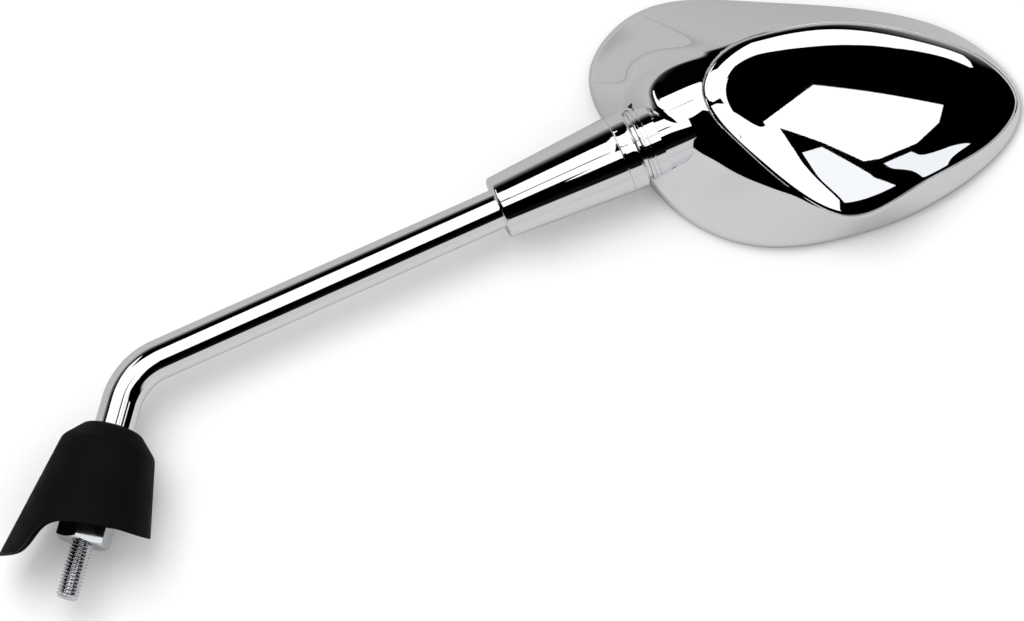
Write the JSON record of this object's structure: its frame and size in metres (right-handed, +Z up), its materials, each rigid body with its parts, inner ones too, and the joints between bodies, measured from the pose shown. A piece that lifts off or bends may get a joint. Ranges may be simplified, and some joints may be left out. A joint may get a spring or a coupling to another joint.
{
  "type": "motorcycle mirror",
  "caption": "Left-hand rear-view mirror for a motorcycle: chromed drop-shaped housing on a ball joint, bent tubular arm, threaded mounting stud under a rubber boot.",
  "frame": {"origin": "on the mounting stud's axis, in the plane of the hex collar's lower face, where it seats on the clamp", "axes": "+Z up along the stud towards the arm, +X outwards the way the arm leans, +Y the way the glass looks; the housing's back faces -Y"},
  "size_m": [0.2987, 0.0449, 0.2758],
  "materials": {
    "chrome_tube": "polished chrome plating on steel",
    "chrome_housing": "polished chrome plating on a moulded housing",
    "zinc_steel": "bright zinc plating",
    "joint_steel": "plain machined steel",
    "screw_steel": "dull zinc plating",
    "boot_rubber": "matte moulded rubber",
    "gasket_rubber": "satin rubber",
    "foam_pad": "closed-cell foam",
    "seat_plastic": "self-lubricating plastic",
    "plate_plastic": "moulded, fine grain",
    "mirror_glass": "silvered convex glass"
  },
  "bodies": {
    "arm": {"mounting_stud": "zinc_steel", "stem_tube": "chrome_tube", "taper_sleeve": "chrome_tube", "sleeve_ring": "chrome_tube", "ball_stud": "joint_steel"},
    "boot": {"rubber_boot": "boot_rubber"},
    "swivel": {"front_seat": "seat_plastic"},
    "tilt": {"rear_seat": "seat_plastic"},
    "head": {"neck_ring": "chrome_housing", "pressure_cup": "joint_steel", "disc_spring": "joint_steel", "socket_plug": "joint_steel", "mirror_shell": "chrome_housing", "mirror_glass": "mirror_glass", "rim_gasket": "gasket_rubber", "adhesive_pad": "foam_pad", "backing_plate": "plate_plastic", "plate_screw_1": "screw_steel", "plate_screw_2": "screw_steel", "plate_screw_3": "screw_steel", "plate_screw_4": "screw_steel"}
  },
  "joints": [
    {"name": "boot_slide", "type": "slide", "parent": "arm", "child": "boot", "axis": [0, 0, 1], "range_m": [0, 0.006]},
    {"name": "head_swivel", "type": "hinge", "parent": "arm", "child": "swivel", "pos_m": [0.1504, 0, 0.18623], "axis": [0.7705, 0, 0.6374], "continuous": true},
    {"name": "head_tilt", "type": "hinge", "parent": "swivel", "child": "tilt", "pos_m": [0.1504, 0, 0.18623], "axis": [-0.6374, 0, 0.7705], "range_deg": [-10, 10]},
    {"name": "head_pan", "type": "hinge", "parent": "tilt", "child": "head", "pos_m": [0.1504, 0, 0.18623], "axis": [0, 1, 0], "range_deg": [-10, 10]}
  ]
}
